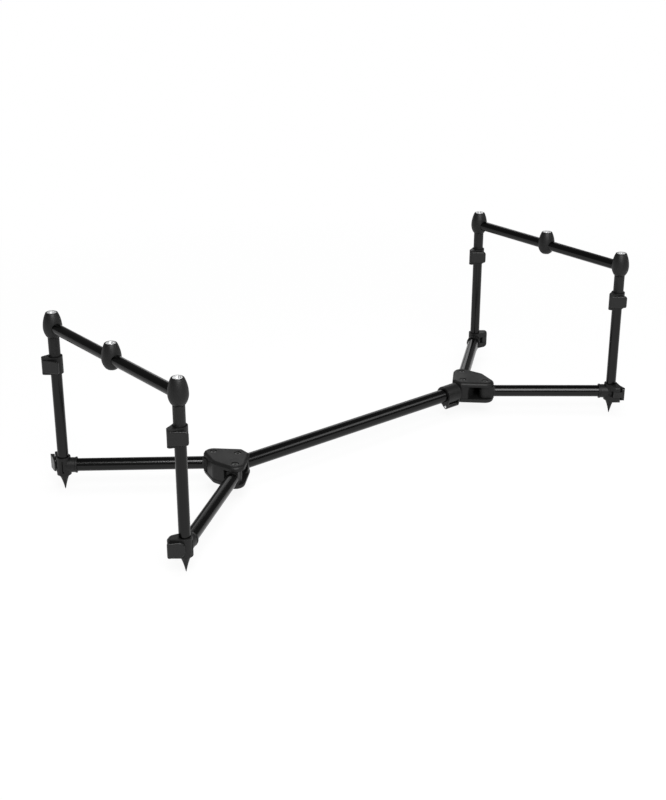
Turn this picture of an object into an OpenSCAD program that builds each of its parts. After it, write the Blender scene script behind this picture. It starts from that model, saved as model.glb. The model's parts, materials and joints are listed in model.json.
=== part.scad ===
// Rod pod for three fishing rods: two goalposts on folding legs, joined by a telescopic ridge.
// The ridge runs along X with the front goalpost at -X, +Y is the left side, and Z starts
// at the spike tips, below the middle of the frame.

/* [Frame] */
// Distance between the two goalposts with the ridge closed
frame_l = 846; // [820:2:880]
// Distance between the two posts of a goalpost
post_w = 320; // [300:2:340]
// Height from the spike tips to the tops of the heads
frame_h = 276; // [268:1:300]
// Height of the legs and the ridge above the spike tips
leg_z = 38.5; // [38:0.5:41]
// How far the front leg pivots stand back from the front goalpost
front_set = 176; // [172:1:180]
// How far the rear leg pivots stand back from the rear goalpost
rear_set = 161; // [157:1:166]
// Distance of each leg pivot from the ridge
pivot_y = 27.5; // [27:0.5:29]

/* [Tubes] */
// Diameter of the lower post tubes
post_d = 16; // [15.5:0.1:16.4]
// Diameter of the inner post tubes
inner_d = 12; // [11.6:0.1:12.4]
// Diameter of the goalpost bars
bar_d = 16; // [14:0.5:16]
// Diameter of the leg tubes
leg_d = 19; // [18:0.2:19]
// Diameter of the outer ridge tube
ridge_d = 22; // [21.6:0.1:22.4]
// Diameter of the inner ridge tube
ridge_in_d = 19; // [18.6:0.1:19.2]
// Wall of the legs, bars and inner tubes
tube_wall = 1.2; // [1:0.1:1.5]
// Room left in the outer ridge tube in front of the inner one
ridge_room = 75; // [60:1:90]

/* [Heads] */
// Height of a head
head_h = 37; // [36:0.5:39]
// Widest diameter of a head
head_d = 27.5; // [26:0.5:29]
// Diameter of a head's top rim
head_top_d = 17; // [16.5:0.5:18]
// Diameter of an outer head's foot, where its sleeve meets it
head_foot_d = 17; // [17:0.5:18]
// Diameter of the middle head's closed foot
mid_foot_d = 14; // [13:0.5:16]
// Depth of the bar's axis below the head tops
bar_drop = 22; // [22:0.5:24]
// Outer diameter of a steel insert
insert_d = 13.4; // [12.5:0.1:14]
// Minor diameter of the insert's 3/8 inch thread
thread_d = 8.3; // [8:0.1:8.6]
// Depth of an insert
insert_l = 13; // [11:0.5:13]
// Diameter of the sleeves below the outer heads
sleeve_d = 16.5; // [15.5:0.1:17]
// Length of a sleeve
sleeve_l = 31; // [29:1:33]

/* [Cam collars] */
// Diameter of the rings on the posts
ring_d = 21.4; // [21:0.1:22]
// Height of a post collar
collar_h = 26; // [25:0.5:27]
// Height of a post collar's lever
collar_lever_h = 19.4; // [18:0.2:20]
// Depth of the open mouth that a sleeve stands in
collar_mouth = 3; // [2.5:0.1:3.5]
// Height of a corner clamp
clamp_h = 28; // [27:0.5:29]
// Height of a corner clamp's lever
clamp_lever_h = 21.6; // [20:0.2:22]
// Width of the slit in a corner clamp
slit_w = 2.5; // [2:0.1:3]
// Height of that slit
slit_h = 19; // [16:1:22]
// Reach of the leg socket from the post's axis
socket_x = 20; // [19:0.5:22]
// Diameter of the ridge collar
ridge_ring_d = 30; // [29:0.5:31]
// Length of the ridge collar
ridge_collar_l = 27; // [26:0.5:30]
// Width of the ridge collar's lever, along the ridge
ridge_lever_w = 21; // [19:0.5:22]
// Direction that the post levers face, seen from above
collar_aim = 231; // [225:1:235]
// Extra turn of the front left collar
front_left_turn = -20; // [-25:1:0]
// Diameter of the pins that the levers turn on
pin_d = 4; // [3.6:0.1:4.2]

/* [Hubs] */
// Height of a hub
hub_h = 36; // [35:0.5:37]
// Clear height between a hub's two plates
hub_gap = 21; // [20.6:0.1:21.4]
// Radius of a hub's lobes
lobe_r = 14.5; // [14:0.5:15.5]
// Length of a hub from its leg pivots to its nose
nose_x = 39.5; // [38:0.5:42]
// Width of a hub's nose
nose_w = 26; // [25:0.5:28]
// Distance of the ridge bolt from the leg pivots
bolt_x = 24.5; // [23:0.5:26]
// Diameter of the hub bolts
bolt_d = 6; // [5.6:0.1:6.2]

/* [Spikes] */
// Length of a spike below its post tube
spike_l = 24.5; // [23:0.5:24.5]
// Diameter of a spike's shoulder
spike_d = 15.2; // [14.4:0.1:15.4]

/* [Fits] */
// Clearance of one tube that slides in another, on the radius
slide_gap = 0.1; // [0.05:0.01:0.1]
// Clearance of a pin in its hole, on the radius
pin_gap = 0.1; // [0.05:0.01:0.1]
// Clearance of a fixed fit, on the radius
fit_gap = 0.05; // [0.02:0.01:0.05]
// Gap between faces that pass each other
pass_gap = 0.3; // [0.25:0.05:0.5]

/* [Hidden] */
$fn = 64;

nylon = "#2c2c2c";
anodised = "#161616";
steel = "#c8cacc";
black_steel = "#202020";

// The four corners, as the side along the ridge and the side across it
FL = [-1, 1];
FR = [-1, -1];
RL = [1, 1];
RR = [1, -1];

// The legs at the front and the rear end, by the side along the ridge
function hub_set(s) = s < 0 ? front_set : rear_set;
function pivot_x(s) = frame_l / 2 - hub_set(s);
function leg_len(c) = norm([hub_set(c.x), post_w / 2 - pivot_y]);

// Heights on a post
bar_z = frame_h - bar_drop;
head_z = frame_h - head_h;
collar_top = head_z - sleeve_l - pass_gap + collar_mouth;
collar_mid = collar_top - collar_h / 2;
collar_lip = 4;
mouth_wall = 1.3;
post_top = collar_top - collar_mouth - collar_lip - pass_gap;
post_bore = inner_d + 2 * slide_gap;
spike_stub = 14;
mast_room = 10;
inner_z = spike_l + spike_stub + mast_room;

// The levers: each lies along the outer side of its ring, between two cheeks that hold its pin.
// A hinge's place follows from the eye's radius, the reach of the lever's outer face and the
// gap between eye and ring, and a tip is a circle that lies against the ring.
cheek_gap = 0.3;
function hinge_at(ring_r, eye, reach, gap) = let (x = eye - ring_r - reach)
    [x, sqrt(pow(ring_r + eye + gap, 2) - x * x)];
function tip_at(ring_r, y, r) = [-ring_r - pass_gap - r, y, r];

collar_eye = 4.4;
collar_hinge = hinge_at(ring_d / 2, collar_eye, 3.9, 0.4);
collar_tip = tip_at(ring_d / 2, -10.5, 2);
collar_corner = 4;

clamp_eye = 6.2;
clamp_hinge = hinge_at(ring_d / 2, clamp_eye, 3.5, 0.35);
clamp_tip = tip_at(ring_d / 2, -3, 1.2);
clamp_corner = 7;
clamp_thumb = [clamp_hinge.x - clamp_eye - 3.7, clamp_hinge.y + 0.2, 3];
clamp_lug_h = 10;

ridge_eye = 3.8;
ridge_hinge = hinge_at(ridge_ring_d / 2, ridge_eye, 3.4, 0.5);
ridge_tip = tip_at(ridge_ring_d / 2, -9, 1.8);
ridge_corner = 4;

// The leg's knuckle, and where its tube begins
knuckle_h = hub_gap - 1.2;
eye_r = 9.6;
neck_l = 16.5;
neck_w = 17;
plug_l = 22;
tube_start = ring_d / 2 + 1.2;

// A hub's outline as circles of x, y and radius, from the middle of its leg pivots
nose_r = 6;
front_bulge = 7;
plate_bevel = 3;
hub_outline = [[0, -pivot_y, lobe_r], [nose_x - nose_r, nose_r - nose_w / 2, nose_r],
    [nose_x - nose_r, nose_w / 2 - nose_r, nose_r], [0, pivot_y, lobe_r], [-front_bulge, 0, lobe_r]];
hub_bolts = [[0, pivot_y], [0, -pivot_y], [bolt_x, 0]];
plate_t = (hub_h - hub_gap) / 2;
socket_l = 26;
web_w = ridge_d + 5;
spine_w = 10;
side_w = 2 * (pivot_y - eye_r);
slot_x = 18;
slot_r = hub_gap / 2 + 0.8;
wall_x = 9;
wall_w = 42;
bolt_head_d = 8.8;
bolt_head_h = 3;
bolt_sink = 1;
recess_d = 10.6;
nut_w = 10;
nut_h = 4.6;

// The ridge: the collar stands just short of the rear hub
collar_stand = 2;
ridge_start = nose_x - socket_l - pivot_x(-1);
ridge_end = pivot_x(1) - nose_x - collar_stand;
ridge_inner_start = ridge_start + ridge_room;
ridge_inner_end = pivot_x(1) - nose_x + socket_l;
ridge_bore = ridge_in_d + 2 * slide_gap;
ridge_aim = 23;

// Direction from the centre of circle a to its outer tangent with the next circle b
function tangent(a, b) = let (d = b - a, t = atan2(d.y, d.x) - acos((a.z - b.z) / norm([d.x, d.y])))
    [cos(t), sin(t)];

// Outline round circles of x, y and radius, listed anticlockwise
module outline(circles, grow = 0) {
    n = len(circles);
    for (c = circles) translate([c.x, c.y]) circle(c.z + grow);
    polygon([for (i = [0:n - 1]) let (a = circles[i], b = circles[(i + 1) % n], m = tangent(a, b))
        each [[a.x, a.y] + (a.z + grow) * m, [b.x, b.y] + (b.z + grow) * m]]);
}

// Plate on such an outline, with its upper edge bevelled
module bevelled(circles, h, bevel) hull() {
    linear_extrude(h - bevel) outline(circles, $fn = 96);
    translate([0, 0, h - 0.1]) linear_extrude(0.1) outline(circles, -bevel, $fn = 96);
}

module tube(d, bore, l) {
    difference() {
        cylinder(d = d, h = l);
        translate([0, 0, -1]) cylinder(d = bore, h = l + 2);
    }
}

// Ring with two cheeks, which hold a lever's pin above and below the lever
module cam_ring(hinge, eye, ring_r, h, lever_h) {
    cheek = (h - lever_h) / 2 - cheek_gap;
    cylinder(r = ring_r, h = h, center = true);
    for (s = [-1, 1]) translate([0, 0, s * (h - cheek) / 2]) linear_extrude(cheek, center = true)
        outline([[0, 0, ring_r - 0.4], [hinge.x, hinge.y, eye]]);
}

// Body of height h between y0 and y1, with corners of radius r0 and r1 at these ends
module rounded(h, y0, r0, y1, r1) intersection() {
    children();
    rotate([90, 0, 90]) linear_extrude(6 * ring_d, center = true)
        outline([for (p = [[y0 + r0, -1, r0], [y1 - r1, -1, r1], [y1 - r1, 1, r1], [y0 + r0, 1, r0]])
            [p.x, p.y * (h / 2 - p.z), p.z]]);
}

// Lever from its hinge to its tip, cut clear of its ring, with its free corners rounded
module lever(hinge, eye, tip, h, ring_r, corner) difference() {
    rounded(h, tip.y - tip.z, corner, hinge.y + eye + 2 * corner, corner)
        linear_extrude(h, center = true) outline([[hinge.x, hinge.y, eye], tip]);
    cylinder(r = ring_r + pass_gap, h = h + 2, center = true);
    translate(hinge) cylinder(d = pin_d + 2 * pin_gap, h = h + 2, center = true);
}

module at_post(c) translate([c.x * frame_l / 2, c.y * post_w / 2, 0]) children();

// Corner clamps and legs: X runs along the leg, from the post's axis to the hub
module at_leg(c) at_post(c) translate([0, 0, leg_z])
    rotate(atan2(c.y * (pivot_y - post_w / 2), -c.x * hub_set(c.x))) children();

// Post collars: -X is the way that the lever faces
module at_collar(c, turn = 0) at_post(c) translate([0, 0, collar_mid])
    rotate(collar_aim + turn - 180) children();

// Hubs: X runs from the middle of the leg pivots towards the other hub
module at_hub(s) translate([s * pivot_x(s), 0, leg_z]) rotate(s > 0 ? 180 : 0) children();

// The ridge collar: Z runs along the ridge, and -X is the way that its lever faces
module at_ridge_collar() translate([ridge_end - ridge_collar_l / 2, 0, leg_z])
    rotate([0, 90, 0]) rotate(180 + ridge_aim) children();

// Wall between a hub's plates, from x0 to x1 and w wide, kept a little inside the plates' edges
module hub_wall(x0, x1, w) translate([0, 0, -hub_gap / 2 - 1]) linear_extrude(hub_gap + 1)
    intersection() {
        outline(hub_outline, -0.6);
        translate([x0, -w / 2]) square([x1 - x0, w]);
    }

// Room for the ridge tube in a hub
module hub_socket(tube_d) translate([nose_x - socket_l, 0, 0]) rotate([0, 90, 0])
    cylinder(d = tube_d + 2 * fit_gap, h = nose_x);

// Base moulding of a hub: lower plate, outer wall between the legs, and the ridge's socket
module hub_base(tube_d) color(nylon) difference() {
    union() {
        translate([0, 0, -hub_gap / 2]) mirror([0, 0, 1]) bevelled(hub_outline, plate_t, plate_bevel);
        difference() {
            hub_wall(slot_x, nose_x, side_w);
            translate([slot_x, 0, 0]) rotate([90, 0, 0])
                cylinder(r = slot_r, h = 2 * side_w, center = true);
        }
        hub_wall(nose_x - socket_l - 2, nose_x, web_w);
        hub_wall(-wall_x - 3, nose_x - socket_l, spine_w);
        hub_wall(-nose_x, -wall_x, wall_w);
    }
    hub_socket(tube_d);
    for (p = hub_bolts) translate(p) {
        cylinder(d = bolt_d + 2 * fit_gap, h = hub_h + 2, center = true);
        translate([0, 0, -hub_h / 2 - 1]) cylinder(d = nut_w / cos(30) + 0.2, h = nut_h + 1.4, $fn = 6);
    }
}

// Cover moulding of a hub, with recesses for the bolt heads
module hub_cover(tube_d) color(nylon) difference() {
    translate([0, 0, hub_gap / 2]) bevelled(hub_outline, plate_t, plate_bevel);
    hub_socket(tube_d);
    for (p = hub_bolts) translate(p) {
        cylinder(d = bolt_d + 2 * fit_gap, h = hub_h);
        translate([0, 0, hub_h / 2 - bolt_head_h - bolt_sink]) cylinder(d = recess_d, h = hub_h);
    }
}

// Three socket-head bolts with their nuts
module hub_bolt_set() color(black_steel) for (p = hub_bolts) translate(p) {
    difference() {
        union() {
            translate([0, 0, -hub_h / 2 + 0.6]) cylinder(d = bolt_d, h = hub_h - bolt_head_h - 1);
            translate([0, 0, hub_h / 2 - bolt_head_h - bolt_sink])
                cylinder(d = bolt_head_d, h = bolt_head_h);
        }
        translate([0, 0, hub_h / 2 - bolt_sink - 2]) cylinder(d = 4.6, h = 5, $fn = 6);
    }
    translate([0, 0, -hub_h / 2 + 0.4]) difference() {
        cylinder(d = nut_w / cos(30), h = nut_h - 0.4, $fn = 6);
        translate([0, 0, -1]) cylinder(d = bolt_d + 2 * fit_gap, h = nut_h + 2);
    }
}

// Outer ridge tube, bolted into the front hub
module ridge_outer_tube() color(anodised) difference() {
    translate([ridge_start, 0, leg_z]) rotate([0, 90, 0])
        tube(ridge_d, ridge_bore, ridge_end - collar_lip - ridge_start);
    at_hub(-1) translate(hub_bolts[2])
        cylinder(d = bolt_d + 2 * fit_gap, h = hub_h, center = true);
}

// Inner ridge tube, bolted into the rear hub
module ridge_inner_tube() color(anodised) difference() {
    translate([ridge_inner_start, 0, leg_z]) rotate([0, 90, 0])
        tube(ridge_in_d, ridge_in_d - 2 * tube_wall, ridge_inner_end - ridge_inner_start);
    at_hub(1) translate(hub_bolts[2])
        cylinder(d = bolt_d + 2 * fit_gap, h = hub_h, center = true);
}

// Plug that guides the inner tube's hidden end
module ridge_end_plug() color(nylon) translate([ridge_inner_start, 0, leg_z]) rotate([0, 90, 0]) {
    translate([0, 0, -3]) cylinder(d = ridge_in_d, h = 3);
    cylinder(d = ridge_in_d - 2 * tube_wall - 2 * fit_gap, h = 14);
}

// Cam collar on the open end of the outer ridge tube, with a lip round the inner tube
module ridge_collar() color(nylon) at_ridge_collar() difference() {
    cam_ring(ridge_hinge, ridge_eye, ridge_ring_d / 2, ridge_collar_l, ridge_lever_w);
    translate([0, 0, -ridge_collar_l / 2 - 1])
        cylinder(d = ridge_d + 2 * fit_gap, h = ridge_collar_l + 1 - collar_lip);
    cylinder(d = ridge_bore, h = 2 * ridge_collar_l, center = true);
    translate(ridge_hinge) cylinder(d = pin_d + 2 * fit_gap, h = 2 * ridge_collar_l, center = true);
}

module ridge_lever() color(nylon) at_ridge_collar()
    lever(ridge_hinge, ridge_eye, ridge_tip, ridge_lever_w, ridge_ring_d / 2, ridge_corner);

module ridge_lever_pin() color(steel) at_ridge_collar()
    translate(ridge_hinge) cylinder(d = pin_d, h = ridge_collar_l + 0.6, center = true);

// Knuckle that turns on a hub's pivot bolt; its plug holds the leg tube
module knuckle(l) color(nylon) translate([l, 0, 0]) difference() {
    union() {
        cylinder(r = eye_r, h = knuckle_h, center = true);
        translate([2 - neck_l, -neck_w / 2, -knuckle_h / 2]) cube([neck_l - 2, neck_w, knuckle_h]);
        translate([-neck_l, 0, 0]) rotate([0, 90, 0]) cylinder(d = leg_d, h = 3);
        translate([-neck_l - plug_l, 0, 0]) rotate([0, 90, 0])
            cylinder(d = leg_d - 2 * tube_wall - 2 * fit_gap, h = plug_l + 1);
    }
    cylinder(d = bolt_d + 2 * pin_gap, h = knuckle_h + 2, center = true);
}

module leg_tube(l) color(anodised) translate([tube_start, 0, 0]) rotate([0, 90, 0])
    tube(leg_d, leg_d - 2 * tube_wall, l - neck_l - tube_start);

// Split clamp that grips a post, with the leg's socket and the pin of its lever
module corner_clamp() color(nylon) difference() {
    union() {
        rounded(clamp_h, -3 * ring_d, 5, clamp_hinge.y + clamp_eye, 5)
            cam_ring(clamp_hinge, clamp_eye, ring_d / 2, clamp_h, clamp_lug_h);
        translate(clamp_hinge) cylinder(d = pin_d, h = clamp_h - 3, center = true);
        rotate([0, 90, 0]) rotate_extrude()
            polygon([[0, 0], [ring_d / 2 - 0.4, 0], [leg_d / 2 + 1.6, 6], [leg_d / 2 + 1.6, socket_x - 3],
                     [leg_d / 2 + 2.4, socket_x - 2.2], [leg_d / 2 + 2.4, socket_x], [0, socket_x]]);
    }
    cylinder(d = post_d + 2 * slide_gap, h = clamp_h + 2, center = true);
    translate([tube_start, 0, 0]) rotate([0, 90, 0]) cylinder(d = leg_d + 2 * fit_gap, h = socket_x);
    translate([-slit_w / 2, -ring_d, -slit_h / 2]) cube([slit_w, ring_d, slit_h]);
}

// Lever of a corner clamp: a plate outside the clamp's ear, on a lug that holds the pin
module clamp_lever() color(nylon) difference() {
    union() {
        difference() {
            rounded(clamp_lever_h, clamp_tip.y - clamp_tip.z, clamp_corner, clamp_thumb.y + clamp_thumb.z, 3)
                linear_extrude(clamp_lever_h, center = true) outline([clamp_thumb, clamp_tip]);
            translate(clamp_hinge) cylinder(r = clamp_eye + pass_gap, h = clamp_h, center = true);
        }
        linear_extrude(clamp_lug_h, center = true)
            outline([[clamp_hinge.x, clamp_hinge.y, clamp_eye], clamp_thumb]);
    }
    cylinder(r = ring_d / 2 + pass_gap, h = clamp_h, center = true);
    translate(clamp_hinge) cylinder(d = pin_d + 2 * pin_gap, h = clamp_h, center = true);
}

module post_tube() color(anodised) translate([0, 0, spike_l]) tube(post_d, post_bore, post_top - spike_l);

// Ground spike with slightly hollow flanks and a stub that fits in the post tube
module spike() color(black_steel) rotate_extrude()
    polygon([[0, 0], [0.5, 0], [2.3, 7], [4.8, spike_l - 8],
             [spike_d / 2, spike_l - 0.5], [spike_d / 2, spike_l],
             [post_bore / 2 - fit_gap, spike_l], [post_bore / 2 - fit_gap, spike_l + spike_stub],
             [0, spike_l + spike_stub]]);

// Cam collar on a post tube's upper end, with a lip round the inner tube and a mouth for the sleeve
module post_collar() color(nylon) difference() {
    union() {
        cam_ring(collar_hinge, collar_eye, ring_d / 2, collar_h, collar_lever_h);
        translate(collar_hinge) cylinder(d = pin_d, h = collar_h - 1, center = true);
    }
    translate([0, 0, -collar_h])
        cylinder(d = post_d + 2 * slide_gap, h = 1.5 * collar_h - collar_mouth - collar_lip);
    cylinder(d = post_bore, h = 2 * collar_h, center = true);
    translate([0, 0, collar_h / 2 - collar_mouth]) cylinder(d = ring_d - 2 * mouth_wall, h = collar_h);
}

module collar_lever() color(nylon)
    lever(collar_hinge, collar_eye, collar_tip, collar_lever_h, ring_d / 2, collar_corner);

// Inner tube of a post; the right posts stop just short of their heads
module inner_tube(drop = 0) color(anodised) translate([0, 0, inner_z])
    tube(inner_d, inner_d - 2 * tube_wall, head_z - drop - inner_z);

// Sleeve between a head and its post collar
module sleeve(drop = 0) color(nylon) rotate_extrude()
    polygon([[inner_d / 2 + fit_gap, head_z - sleeve_l], [sleeve_d / 2 - 1.5, head_z - sleeve_l],
             [sleeve_d / 2, head_z - sleeve_l + 1.5], [sleeve_d / 2, head_z - drop],
             [inner_d / 2 + fit_gap, head_z - drop]]);

// Bar of a goalpost, through the middle head and into the outer ones
module bar_tube(s) color(anodised) translate([s * frame_l / 2, 0, bar_z]) rotate([90, 0, 0])
    translate([0, 0, -post_w / 2 - 3]) tube(bar_d, bar_d - 2 * tube_wall, post_w + 6);

// Half profile of a head: two arcs that meet at the widest place
module head_profile(foot_d) {
    up = (head_d - head_top_d) / 2;
    down = (head_d - foot_d) / 2;
    low = head_h - bar_drop;
    r_up = (bar_drop * bar_drop + up * up) / (2 * up);
    r_down = (low * low + down * down) / (2 * down);
    intersection() {
        translate([head_d / 2 - r_up, bar_z]) circle(r_up, $fn = 200);
        translate([0, bar_z]) square([head_d, bar_drop]);
    }
    intersection() {
        translate([head_d / 2 - r_down, bar_z]) circle(r_down, $fn = 200);
        translate([0, head_z]) square([head_d, low]);
    }
}

// Three heads: the outer ones stop the bar, the middle one lets it through
module heads(s) color(nylon) for (y = [-1, 0, 1])
    translate([s * frame_l / 2, y * post_w / 2, 0]) difference() {
        rotate_extrude() head_profile(y == 0 ? mid_foot_d : head_foot_d);
        translate([0, 0, frame_h - insert_l]) cylinder(d = insert_d + 2 * fit_gap, h = insert_l + 1);
        translate([0, -y * 4, bar_z]) rotate([y == 0 ? 90 : y * 90, 0, 0])
            translate([0, 0, y == 0 ? -head_d : -8]) cylinder(d = bar_d + 2 * fit_gap, h = 2 * head_d);
    }

// Threaded steel inserts in the tops of the heads
module inserts(s) color(steel) for (y = [-1, 0, 1])
    translate([s * frame_l / 2, y * post_w / 2, frame_h - insert_l]) tube(insert_d, thread_d, insert_l);

at_hub(-1) hub_base(ridge_d);  // front_hub_base
at_hub(-1) hub_cover(ridge_d);  // front_hub_cover
at_hub(-1) hub_bolt_set();  // front_hub_bolts
at_hub(1) hub_base(ridge_in_d);  // rear_hub_base
at_hub(1) hub_cover(ridge_in_d);  // rear_hub_cover
at_hub(1) hub_bolt_set();  // rear_hub_bolts

ridge_outer_tube();
ridge_inner_tube();
ridge_end_plug();
ridge_collar();
ridge_lever();
ridge_lever_pin();

bar_tube(-1);  // front_bar_tube
heads(-1);  // front_heads
inserts(-1);  // front_inserts
bar_tube(1);  // rear_bar_tube
heads(1);  // rear_heads
inserts(1);  // rear_inserts

at_leg(FL) knuckle(leg_len(FL));  // front_left_knuckle
at_leg(FL) leg_tube(leg_len(FL));  // front_left_leg_tube
at_leg(FL) corner_clamp();  // front_left_clamp
at_leg(FL) clamp_lever();  // front_left_clamp_lever
at_post(FL) post_tube();  // front_left_post_tube
at_post(FL) spike();  // front_left_spike
at_collar(FL, front_left_turn) post_collar();  // front_left_collar
at_collar(FL, front_left_turn) collar_lever();  // front_left_collar_lever
at_post(FL) inner_tube();  // front_left_inner_tube
at_post(FL) sleeve();  // front_left_sleeve

at_leg(FR) knuckle(leg_len(FR));  // front_right_knuckle
at_leg(FR) leg_tube(leg_len(FR));  // front_right_leg_tube
at_leg(FR) corner_clamp();  // front_right_clamp
at_leg(FR) clamp_lever();  // front_right_clamp_lever
at_post(FR) post_tube();  // front_right_post_tube
at_post(FR) spike();  // front_right_spike
at_collar(FR) post_collar();  // front_right_collar
at_collar(FR) collar_lever();  // front_right_collar_lever
at_post(FR) inner_tube(pass_gap);  // front_right_inner_tube
at_post(FR) sleeve(pass_gap);  // front_right_sleeve

at_leg(RL) knuckle(leg_len(RL));  // rear_left_knuckle
at_leg(RL) leg_tube(leg_len(RL));  // rear_left_leg_tube
at_leg(RL) corner_clamp();  // rear_left_clamp
at_leg(RL) clamp_lever();  // rear_left_clamp_lever
at_post(RL) post_tube();  // rear_left_post_tube
at_post(RL) spike();  // rear_left_spike
at_collar(RL) post_collar();  // rear_left_collar
at_collar(RL) collar_lever();  // rear_left_collar_lever
at_post(RL) inner_tube();  // rear_left_inner_tube
at_post(RL) sleeve();  // rear_left_sleeve

at_leg(RR) knuckle(leg_len(RR));  // rear_right_knuckle
at_leg(RR) leg_tube(leg_len(RR));  // rear_right_leg_tube
at_leg(RR) corner_clamp();  // rear_right_clamp
at_leg(RR) clamp_lever();  // rear_right_clamp_lever
at_post(RR) post_tube();  // rear_right_post_tube
at_post(RR) spike();  // rear_right_spike
at_collar(RR) post_collar();  // rear_right_collar
at_collar(RR) collar_lever();  // rear_right_collar_lever
at_post(RR) inner_tube(pass_gap);  // rear_right_inner_tube
at_post(RR) sleeve(pass_gap);  // rear_right_sleeve
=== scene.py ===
"""Looks of the rod pod: tubes, mouldings and fittings of a low stand for three fishing rods."""
import json
import math

import bmesh
import bpy
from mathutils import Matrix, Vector

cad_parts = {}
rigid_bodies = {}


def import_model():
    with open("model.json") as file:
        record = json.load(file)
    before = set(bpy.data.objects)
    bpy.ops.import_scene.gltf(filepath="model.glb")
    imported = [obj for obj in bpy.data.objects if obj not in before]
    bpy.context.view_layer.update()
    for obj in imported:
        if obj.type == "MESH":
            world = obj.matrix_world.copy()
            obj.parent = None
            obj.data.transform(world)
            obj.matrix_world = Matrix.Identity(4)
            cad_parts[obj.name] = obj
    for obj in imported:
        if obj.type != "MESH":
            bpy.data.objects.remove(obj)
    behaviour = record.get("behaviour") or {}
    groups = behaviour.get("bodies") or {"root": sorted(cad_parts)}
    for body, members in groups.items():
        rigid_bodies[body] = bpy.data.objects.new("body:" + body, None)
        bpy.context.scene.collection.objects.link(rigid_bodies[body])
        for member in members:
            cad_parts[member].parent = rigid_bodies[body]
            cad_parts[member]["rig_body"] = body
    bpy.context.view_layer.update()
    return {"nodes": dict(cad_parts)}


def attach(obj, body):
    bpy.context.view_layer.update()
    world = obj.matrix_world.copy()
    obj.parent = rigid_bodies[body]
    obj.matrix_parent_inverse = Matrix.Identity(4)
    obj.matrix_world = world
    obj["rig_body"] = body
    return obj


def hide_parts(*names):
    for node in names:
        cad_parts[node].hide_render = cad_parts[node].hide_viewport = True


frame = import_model()
nodes = frame["nodes"]


# Hubs: a base and a cover moulded in black glass-filled nylon, one hub at each end of the ridge.
# The mould leaves a fine spark grain and slightly rounded edges, and the plates' rims are rounder.
def linear(hex_code):
    """sRGB hex to linear colour, as the shader sockets take it"""
    parts = [int(hex_code[i:i + 2], 16) / 255 for i in (1, 3, 5)]
    return tuple(c / 12.92 if c <= 0.04045 else ((c + 0.055) / 1.055) ** 2.4 for c in parts) + (1,)


def add(tree, kind, values=None, links=None, **settings):
    """Adds a node with its socket values, its links and its settings"""
    new = tree.nodes.new(kind)
    for name, value in settings.items():
        setattr(new, name, value)
    for socket, value in (values or {}).items():
        new.inputs[socket].default_value = value
    for socket, source in (links or {}).items():
        tree.links.new(source, new.inputs[socket])
    return new


def finish(name):
    """A new material: its node tree, its shader and the place of a point on the object"""
    material = bpy.data.materials.new(name)
    material.use_nodes = True
    tree = material.node_tree
    place = add(tree, "ShaderNodeTexCoord").outputs["Object"]
    return material, tree, tree.nodes["Principled BSDF"], place


def glass_nylon(name, tints, roughness, shine):
    """Glass-filled nylon: black with a fine moulded grain, flow marks and patches smoothed by handling.
    Its tints and its roughness each run between two values, and shine is its specular level."""
    material, tree, shader, place = finish(name)
    # Spark grain is about 0.2 mm: drawn at 0.8 mm, so that it shows. Flow marks are about 14 mm
    # apart, and handled patches about 25 mm across.
    grain = add(tree, "ShaderNodeTexNoise", {"Scale": 1250, "Detail": 2, "Roughness": 0.6},
                {"Vector": place})
    flow = add(tree, "ShaderNodeTexNoise", {"Scale": 70, "Detail": 3, "Distortion": 0.6},
               {"Vector": place})
    handled = add(tree, "ShaderNodeTexNoise", {"Scale": 40, "Detail": 2}, {"Vector": place})
    tint = add(tree, "ShaderNodeMix", {6: linear(tints[0]), 7: linear(tints[1])},
               {0: flow.outputs["Fac"]}, data_type="RGBA")
    both = add(tree, "ShaderNodeMath", {}, {0: grain.outputs["Fac"], 1: handled.outputs["Fac"]},
               operation="ADD")
    rough = add(tree, "ShaderNodeMapRange", {"From Max": 2, "To Min": roughness[0], "To Max": roughness[1]},
                {"Value": both.outputs[0]})
    bump = add(tree, "ShaderNodeBump", {"Strength": 0.12, "Distance": 0.0003},
               {"Height": grain.outputs["Fac"]})
    shader.inputs["IOR"].default_value = 1.53
    shader.inputs["Specular IOR Level"].default_value = shine
    tree.links.new(tint.outputs[2], shader.inputs["Base Color"])
    tree.links.new(rough.outputs["Result"], shader.inputs["Roughness"])
    tree.links.new(bump.outputs["Normal"], shader.inputs["Normal"])
    return material


def stand_for(piece, node, material):
    """Gives a finished piece its material, and hands it the place of its CAD node"""
    piece.data.materials.clear()
    piece.data.materials.append(material)
    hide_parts(node)
    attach(piece, nodes[node]["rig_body"])


CREASE, FLAT, WELD = math.radians(32), math.radians(0.4), 2e-6


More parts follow.
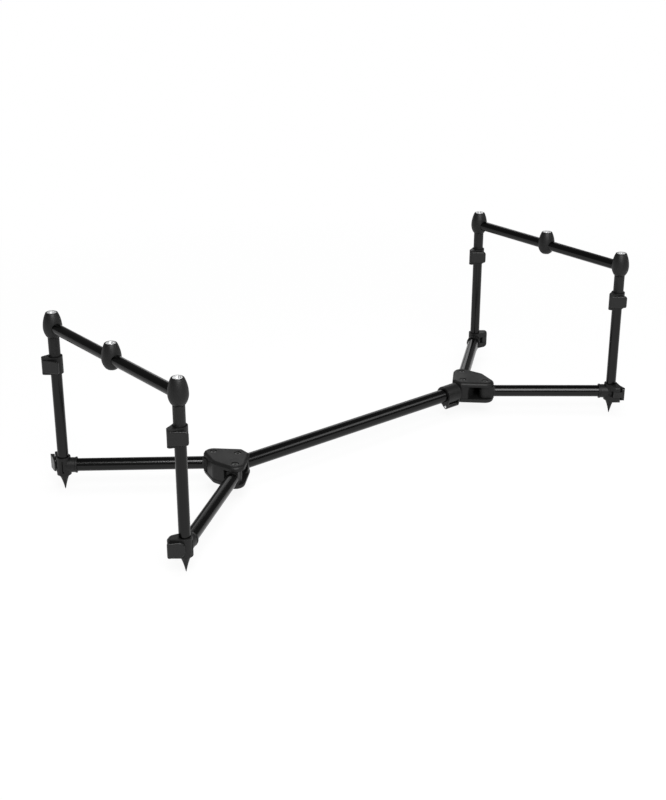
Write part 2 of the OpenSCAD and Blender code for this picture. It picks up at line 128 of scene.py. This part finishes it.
def softened(node, radius, material, rim=None, wide=0):
    """A copy of a CAD solid with its edges rounded as its mould or its tool leaves them, and rounded
    to the wide radius where rim says that an edge is on the rim"""
    piece = bpy.data.objects.new(node + "_finished", nodes[node].data.copy())
    bpy.context.collection.objects.link(piece)
    bpy.ops.object.select_all(action="DESELECT")
    piece.select_set(True)
    bpy.context.view_layer.objects.active = piece
    bpy.ops.mesh.customdata_custom_splitnormals_clear()
    bpy.ops.object.mode_set(mode="EDIT")
    bpy.ops.mesh.select_all(action="SELECT")
    bpy.ops.mesh.remove_doubles(threshold=WELD)
    bpy.ops.mesh.dissolve_limited(angle_limit=FLAT)
    if rim:
        bpy.ops.mesh.select_all(action="DESELECT")
        grid = bmesh.from_edit_mesh(piece.data)
        for line in grid.edges:
            if line.calc_face_angle_signed(0) > CREASE and rim(line):
                line.select_set(True)
        bmesh.update_edit_mesh(piece.data)
        bpy.ops.mesh.bevel(offset=wide, segments=4, affect="EDGES")
    bpy.ops.object.mode_set(mode="OBJECT")
    edge = piece.modifiers.new("edge", "BEVEL")
    edge.width, edge.segments, edge.limit_method = radius, 3, "ANGLE"
    edge.angle_limit = CREASE
    bpy.ops.object.modifier_apply(modifier=edge.name)
    bpy.ops.object.shade_smooth_by_angle(angle=CREASE)
    even = piece.modifiers.new("even", "WEIGHTED_NORMAL")
    even.keep_sharp = True
    bpy.ops.object.modifier_apply(modifier=even.name)
    stand_for(piece, node, material)


def on_slope(line):
    """Whether an edge bounds the slope of 45 degrees round the rim of a hub's plate"""
    return any(0.6 < abs(face.normal.z) < 0.8 for face in line.link_faces)


nylon = glass_nylon("glass_filled_nylon", ("#101010", "#181818"), (0.34, 0.58), 0.3)
ENDS = ("front", "rear")
MOULD_EDGE, HUB_RIM = 0.0006, 0.0019
for end in ENDS:
    softened(end + "_hub_base", MOULD_EDGE, nylon, on_slope, HUB_RIM)
    softened(end + "_hub_cover", MOULD_EDGE, nylon, on_slope, HUB_RIM)


# Hub bolts: socket-head bolts and nuts in blackened steel, which hold each hub together
# and are the pivots of its legs. The oxide is thin and oily, so it shines more than the nylon.
def oxide_steel(name, dark, light):
    """Black oxide on steel, between two tints: a dull metallic shine and small rubbed patches"""
    material, tree, shader, place = finish(name)
    # Rubbed patches are about 3 mm across
    rubbed = add(tree, "ShaderNodeTexNoise", {"Scale": 330, "Detail": 4}, {"Vector": place})
    tint = add(tree, "ShaderNodeMix", {6: linear(dark), 7: linear(light)},
               {0: rubbed.outputs["Fac"]}, data_type="RGBA")
    rough = add(tree, "ShaderNodeMapRange", {"To Min": 0.32, "To Max": 0.48},
                {"Value": rubbed.outputs["Fac"]})
    shader.inputs["Metallic"].default_value = 0.8
    tree.links.new(tint.outputs[2], shader.inputs["Base Color"])
    tree.links.new(rough.outputs["Result"], shader.inputs["Roughness"])
    return material


bolt_steel = oxide_steel("rubbed_black_oxide_steel", "#484848", "#6c6c6c")
BOLT_EDGE = 0.0003
for end in ENDS:
    softened(end + "_hub_bolts", BOLT_EDGE, bolt_steel)


# Ridge: two drawn aluminium tubes, dyed black and sealed by anodising, one sliding in the other.
# They are only cut to length, so their one mark is the fine draw lines that run along them.
def anodised(name, turn):
    """Black anodised aluminium: a dark satin metal with draw lines along its tube, which turn points to"""
    material, tree, shader, place = finish(name)
    # Draw lines are about 0.05 mm apart: drawn 1.2 mm apart and 200 mm long, so that they show.
    # Handled patches are about 22 mm across.
    along = add(tree, "ShaderNodeMapping", {"Rotation": turn, "Scale": (0.2, 0.0012, 0.0012)},
                {"Vector": place}, vector_type="TEXTURE")
    lines = add(tree, "ShaderNodeTexNoise", {"Scale": 1, "Detail": 2}, {"Vector": along.outputs["Vector"]})
    handled = add(tree, "ShaderNodeTexNoise", {"Scale": 45, "Detail": 3}, {"Vector": place})
    both = add(tree, "ShaderNodeMath", {}, {0: lines.outputs["Fac"], 1: handled.outputs["Fac"]},
               operation="ADD")
    rough = add(tree, "ShaderNodeMapRange", {"From Max": 2, "To Min": 0.14, "To Max": 0.26},
                {"Value": both.outputs[0]})
    tint = add(tree, "ShaderNodeMix", {6: linear("#2e2e2e"), 7: linear("#383838")},
               {0: lines.outputs["Fac"]}, data_type="RGBA")
    bump = add(tree, "ShaderNodeBump", {"Strength": 0.03, "Distance": 0.0002},
               {"Height": lines.outputs["Fac"]})
    shader.inputs["Metallic"].default_value = 1
    tree.links.new(tint.outputs[2], shader.inputs["Base Color"])
    tree.links.new(rough.outputs["Result"], shader.inputs["Roughness"])
    tree.links.new(bump.outputs["Normal"], shader.inputs["Normal"])
    return material


def finish_node(node, material):
    """Gives a CAD node its finish"""
    nodes[node].data.materials.clear()
    nodes[node].data.materials.append(material)


ridge_finish = anodised("black_anodised_ridge_tube", (0, 0, 0))
finish_node("ridge_outer_tube", ridge_finish)
finish_node("ridge_inner_tube", ridge_finish)

# Ridge collar: a nylon ring on the end of the outer ridge tube, with a cam lever below it that
# grips the inner tube. Thumbs polish the levers, so they are darker and shine more than the
# rings. The end plug is out of sight inside the ridge.
softened("ridge_collar", MOULD_EDGE, nylon)
LEVER_FACE = 6e-5


def round_flat(outward):
    """Says of an edge whether it bounds the flat face of a lever that looks outward, which is over 60 mm2"""
    return lambda line: any(face.normal.dot(outward) > 0.9 and face.calc_area() > LEVER_FACE
                            for face in line.link_faces)


lever_nylon = glass_nylon("thumb_polished_nylon", ("#0c0c0c", "#131313"), (0.2, 0.38), 0.42)
LEVER_EDGE, RIDGE_LEVER_RIM, TILT = 0.0005, 0.0013, math.radians(23)
down = Vector((0, math.sin(TILT), -math.cos(TILT)))
softened("ridge_lever", LEVER_EDGE, lever_nylon, round_flat(down), RIDGE_LEVER_RIM)
finish_node("ridge_end_plug", nylon)

# Legs: anodised tubes from the hubs to the corners. A nylon knuckle plugs into the inner end
# of each and turns on a hub bolt, so that the leg folds along the ridge.
CORNERS = ("front_left", "front_right", "rear_left", "rear_right")
LEG_SPREAD = 0.1325
LEG_SET = {"front": 0.176, "rear": 0.161}
LEG_EDGE = 0.0008
for corner in CORNERS:
    end = corner.split("_")[0]
    angle = math.atan2(LEG_SPREAD, LEG_SET[end]) * (1 if corner in ("front_right", "rear_left") else -1)
    finish_node(corner + "_leg_tube", anodised("black_anodised_leg_tube_" + corner, (0, 0, angle)))
    softened(corner + "_knuckle", LEG_EDGE, nylon)

# Corner clamps: split nylon rings that grip the posts, each with a flared socket for its leg.
# A cam lever pulls the split shut: its plate lies outside the clamp, and its lug turns on a pin
# between the clamp's two cheeks.
HALF_L, HALF_W = 0.423, 0.16
END_X = {"front": -HALF_L, "rear": HALF_L}
SIDE_Y = {"left": HALF_W, "middle": 0, "right": -HALF_W}
# A lever's plate looks away from the leg, and a little to one side of it
PLATE_AWAY, PLATE_ASIDE, CLAMP_LEVER_RIM = 0.956, 0.294, 0.0014
for corner in CORNERS:
    end, side = corner.split("_")
    inward = Vector((-math.copysign(LEG_SET[end], END_X[end]),
                     -math.copysign(LEG_SPREAD, SIDE_Y[side]), 0)).normalized()
    across = Vector((-inward.y, inward.x, 0))
    softened(corner + "_clamp", LEG_EDGE, nylon)
    softened(corner + "_clamp_lever", LEVER_EDGE, lever_nylon,
             round_flat(-PLATE_AWAY * inward - PLATE_ASIDE * across), CLAMP_LEVER_RIM)

# Posts: a tube at each corner, gripped by its clamp, with a thinner one that slides in it to set
# the height. Both are drawn aluminium, anodised black.
post_finish = anodised("black_anodised_post_tube", (0, math.pi / 2, 0))
for corner in CORNERS:
    finish_node(corner + "_post_tube", post_finish)
    finish_node(corner + "_inner_tube", post_finish)


# Spikes: steel points that stand in the ground, turned with slightly hollow flanks and blackened.
# Each has a stub that is pressed into its post.
TURN_STEPS = 64


def turned(name, profile, closed_loop=False):
    """A piece turned about the Z axis: a ring that is extruded and sized along (radius, height), in metres"""
    bpy.ops.object.select_all(action="DESELECT")
    radius, height = profile[0]
    bpy.ops.mesh.primitive_circle_add(vertices=TURN_STEPS, radius=radius, location=(0, 0, height))
    piece = bpy.context.active_object
    piece.name = name
    bpy.ops.object.transform_apply(location=True)
    bpy.ops.object.mode_set(mode="EDIT")
    bpy.ops.mesh.select_all(action="SELECT")
    for next_radius, next_height in profile[1:]:
        bpy.ops.mesh.extrude_region_move(TRANSFORM_OT_translate={"value": (0, 0, next_height - height)})
        bpy.ops.transform.resize(value=(next_radius / radius, next_radius / radius, 1))
        radius, height = next_radius, next_height
    bpy.ops.mesh.select_all(action="SELECT")
    if closed_loop:
        bpy.ops.mesh.remove_doubles(threshold=1e-7)
    else:
        bpy.ops.mesh.fill_holes(sides=0)
    bpy.ops.mesh.select_all(action="SELECT")
    bpy.ops.mesh.normals_make_consistent(inside=False)
    bpy.ops.object.mode_set(mode="OBJECT")
    bpy.ops.object.shade_smooth_by_angle(angle=CREASE)
    return piece


def copied(piece, name, offset):
    """A copy of a piece with its own mesh, moved in its mesh by offset"""
    copy = bpy.data.objects.new(name, piece.data.copy())
    bpy.context.collection.objects.link(copy)
    bpy.ops.object.select_all(action="DESELECT")
    copy.select_set(True)
    bpy.context.view_layer.objects.active = copy
    copy.location = offset
    bpy.ops.object.transform_apply(location=True)
    return copy


SPIKE_L, SPIKE_R, TIP_R, STUB_R, STUB_L = 0.0245, 0.0076, 0.0004, 0.006, 0.013
FLANK_STEPS, HOLLOW = 12, 0.28
flank = []
for i in range(FLANK_STEPS + 1):
    t = i / FLANK_STEPS
    flank.append((TIP_R + (SPIKE_R - TIP_R) * ((1 - HOLLOW) * t + HOLLOW * t ** 3), t * (SPIKE_L - 0.0012)))
black_steel = oxide_steel("black_oxide_steel", "#202020", "#343434")
spike = turned("spike", flank + [(SPIKE_R, SPIKE_L - 0.0008), (SPIKE_R, SPIKE_L), (STUB_R, SPIKE_L),
                                 (STUB_R, SPIKE_L + STUB_L)])
for corner in CORNERS:
    end, side = corner.split("_")
    stand_for(copied(spike, corner + "_spike_point", (END_X[end], SIDE_Y[side], 0)), corner + "_spike",
              black_steel)
bpy.data.objects.remove(spike)

# Post collars: a nylon ring on top of each post tube with its own cam lever, which grips
# the inner tube at any height. A nylon sleeve round the inner tube stands in the ring's mouth.
COLLAR_AIM, FRONT_LEFT_AIM = math.radians(231), math.radians(211)
COLLAR_LEVER_RIM, SLEEVE_EDGE = 0.0018, 0.0005
for corner in CORNERS:
    aim = FRONT_LEFT_AIM if corner == "front_left" else COLLAR_AIM
    outward = Vector((math.cos(aim), math.sin(aim), 0))
    softened(corner + "_collar", MOULD_EDGE, nylon)
    softened(corner + "_collar_lever", LEVER_EDGE, lever_nylon,
             round_flat(outward), COLLAR_LEVER_RIM)
    softened(corner + "_sleeve", SLEEVE_EDGE, nylon)

# Bars: the cross tubes of the two goalposts, in black anodised aluminium. Each runs through its
# middle head and ends in the outer ones.
bar_finish = anodised("black_anodised_bar_tube", (0, 0, math.pi / 2))
for end in ENDS:
    finish_node(end + "_bar_tube", bar_finish)

# Heads: barrel-shaped nylon mouldings on the bar, three on each goalpost. The outer two
# close the bar's ends and take the masts, and the middle one is closed below.
HEAD_TOP, BAR_DROP, HEAD_H, HEAD_R, RIM_R = 0.276, 0.022, 0.037, 0.01375, 0.0085
OUTER_FOOT_R, MIDDLE_FOOT_R = 0.0085, 0.007
INSERT_R, INSERT_L = 0.0067, 0.013
LOW_STEPS, HIGH_STEPS, HIGH_SHARE = 8, 9, 0.965


def barrel(foot_radius):
    """Half profile of a head from its foot to the recess in its top, in metres"""
    low, bar_z = HEAD_H - BAR_DROP, HEAD_TOP - BAR_DROP
    down, up = HEAD_R - foot_radius, HEAD_R - RIM_R
    r_down, r_up = (low ** 2 + down ** 2) / (2 * down), (BAR_DROP ** 2 + up ** 2) / (2 * up)
    side = []
    for i in range(1, LOW_STEPS + 1):
        dz = low * (1 - i / LOW_STEPS)
        side.append((HEAD_R - r_down + math.sqrt(r_down ** 2 - dz ** 2), bar_z - dz))
    for i in range(1, HIGH_STEPS + 1):
        dz = BAR_DROP * i / HIGH_STEPS * HIGH_SHARE
        side.append((HEAD_R - r_up + math.sqrt(r_up ** 2 - dz ** 2), bar_z + dz))
    rim = [(RIM_R + 0.00005, HEAD_TOP - 0.0004), (RIM_R - 0.0004, HEAD_TOP - 0.0001),
           (RIM_R - 0.0008, HEAD_TOP), (INSERT_R + 0.0003, HEAD_TOP),
           (INSERT_R + 0.0001, HEAD_TOP - 0.0002), (INSERT_R + 0.0001, HEAD_TOP - INSERT_L)]
    foot = [(foot_radius - 0.0011, bar_z - low), (foot_radius - 0.0004, bar_z - low + 0.0001)]
    return foot + side + rim


outer_head = turned("outer_head", barrel(OUTER_FOOT_R))
middle_head = turned("middle_head", barrel(MIDDLE_FOOT_R))
for end in ENDS:
    for side, pattern in (("left", outer_head), ("middle", middle_head), ("right", outer_head)):
        stand_for(copied(pattern, f"{end}_{side}_head", (END_X[end], SIDE_Y[side], 0)), end + "_heads",
                  nylon)
for pattern in (outer_head, middle_head):
    bpy.data.objects.remove(pattern)


# Inserts: turned steel bushes in the tops of the heads, with a 3/8 inch thread for rod rests.
# The mouth is countersunk, and the turning leaves fine marks that catch the light.
def turned_steel():
    """Bright turned steel: clean metal with fine tool marks"""
    material, tree, shader, place = finish("bright_turned_steel")
    # Tool marks are about 0.1 mm apart: drawn at 0.5 mm, so that they show
    marks = add(tree, "ShaderNodeTexNoise", {"Scale": 2000, "Detail": 2}, {"Vector": place})
    tint = add(tree, "ShaderNodeMix", {6: linear("#e6e7e8"), 7: linear("#f8f8f8")},
               {0: marks.outputs["Fac"]}, data_type="RGBA")
    rough = add(tree, "ShaderNodeMapRange", {"To Min": 0.28, "To Max": 0.44},
                {"Value": marks.outputs["Fac"]})
    shader.inputs["Metallic"].default_value = 0.7
    tree.links.new(tint.outputs[2], shader.inputs["Base Color"])
    tree.links.new(rough.outputs["Result"], shader.inputs["Roughness"])
    return material


bright_steel = turned_steel()
THREAD_R, THREAD_DEPTH, PITCH, TURNS = 0.00415, 0.0006, 0.00127, 8
bush = [(INSERT_R, HEAD_TOP - INSERT_L), (INSERT_R, HEAD_TOP - 0.0003), (INSERT_R - 0.0003, HEAD_TOP),
        (THREAD_R + 0.0009, HEAD_TOP), (THREAD_R, HEAD_TOP - 0.0009)]
for i in range(TURNS):
    z = HEAD_TOP - 0.0012 - i * PITCH
    bush += [(THREAD_R, z), (THREAD_R + THREAD_DEPTH, z - PITCH / 2)]
bush += [(THREAD_R, HEAD_TOP - INSERT_L + 0.0002), (THREAD_R, HEAD_TOP - INSERT_L),
         (INSERT_R, HEAD_TOP - INSERT_L)]
insert = turned("insert", bush, closed_loop=True)
for end in ENDS:
    for side in SIDE_Y:
        stand_for(copied(insert, f"{end}_{side}_insert", (END_X[end], SIDE_Y[side], 0)), end + "_inserts",
                  bright_steel)
bpy.data.objects.remove(insert)
# The pin of the ridge lever is turned from the same steel
finish_node("ridge_lever_pin", bright_steel)

# Floor: plain white paper. It looks white to the camera, more so far from the pod, and keeps the
# pod's faint shadow. In reflections it is a little dimmer, as paper under studio light is.
bpy.ops.object.select_all(action="DESELECT")
bpy.ops.mesh.primitive_plane_add(size=40, location=(0, 0, -0.0005))
floor = bpy.context.active_object
floor.name = "floor"
paper, tree, shader, place = finish("white_paper_floor")
tree.nodes.remove(shader)
path = add(tree, "ShaderNodeLightPath")
seen = add(tree, "ShaderNodeMath", {},
           {0: path.outputs["Is Camera Ray"], 1: path.outputs["Is Glossy Ray"]}, operation="ADD")
shown = add(tree, "ShaderNodeMath", {}, {0: seen.outputs[0], 1: path.outputs["Is Transmission Ray"]},
            operation="ADD", use_clamp=True)
away = add(tree, "ShaderNodeVectorMath", {}, {0: place}, operation="LENGTH")
white = add(tree, "ShaderNodeMapRange", {"From Min": 0.5, "From Max": 1.4, "To Min": 0.9, "To Max": 1},
            {"Value": away.outputs["Value"]})
share = add(tree, "ShaderNodeMath", {}, {0: shown.outputs[0], 1: white.outputs["Result"]},
            operation="MULTIPLY")
matt = add(tree, "ShaderNodeBsdfDiffuse", {"Color": linear("#fafafa")})
level = add(tree, "ShaderNodeMath", {1: -0.27, 2: 1}, {0: path.outputs["Is Glossy Ray"]},
            operation="MULTIPLY_ADD")
glow = add(tree, "ShaderNodeEmission", {"Color": (1, 1, 1, 1)}, {"Strength": level.outputs[0]})
mix = add(tree, "ShaderNodeMixShader", {}, {0: share.outputs[0], 1: matt.outputs[0], 2: glow.outputs[0]})
tree.links.new(mix.outputs[0], tree.nodes["Material Output"].inputs["Surface"])
floor.data.materials.append(paper)

# Light and camera: a softbox behind the camera, a small one that draws the levers' edges, one to the
# right that draws the line along the ridge, a weak one behind the pod that the inserts mirror,
# and a large flat light overhead that is kept out of the reflections.
world = bpy.data.worlds.new("studio")
world.use_nodes = True
world.node_tree.nodes["Background"].inputs["Color"].default_value = (1, 1, 1, 1)
world.node_tree.nodes["Background"].inputs["Strength"].default_value = 0.15
bpy.context.scene.world = world


POD_MIDDLE = Vector((0, 0, 0.1))


def softbox(name, place, size, watts, mirrored=True):
    """A square lamp aimed at the middle of the pod"""
    lamp = bpy.data.lights.new(name, "AREA")
    lamp.size, lamp.energy = size, watts
    holder = bpy.data.objects.new(name, lamp)
    bpy.context.collection.objects.link(holder)
    holder.location = place
    holder.rotation_euler = (POD_MIDDLE - Vector(place)).to_track_quat("-Z", "Y").to_euler()
    holder.visible_glossy = mirrored


softbox("key", (-0.7, -1.57, 1.65), 1.3, 37)
softbox("left", (-1.0, -0.95, 1.68), 0.55, 9)
softbox("right", (1.29, -1.32, 1.29), 0.8, 5)
softbox("behind", (1.75, 2.14, 1.2), 1.4, 6)
softbox("overhead", (0.1, 0.2, 2.8), 2.4, 44, mirrored=False)

camera = bpy.data.cameras.new("camera")
camera.lens = 63.33
holder = bpy.data.objects.new("camera", camera)
bpy.context.collection.objects.link(holder)
holder.location = (-1.3051, -1.5439, 0.9245)
AZIMUTH, DOWN = math.radians(50.7), math.radians(22.63)
look = Vector((math.cos(AZIMUTH) * math.cos(DOWN), math.sin(AZIMUTH) * math.cos(DOWN), -math.sin(DOWN)))
holder.rotation_euler = look.to_track_quat("-Z", "Y").to_euler()
bpy.context.scene.camera = holder
bpy.context.scene.view_settings.view_transform = "Standard"
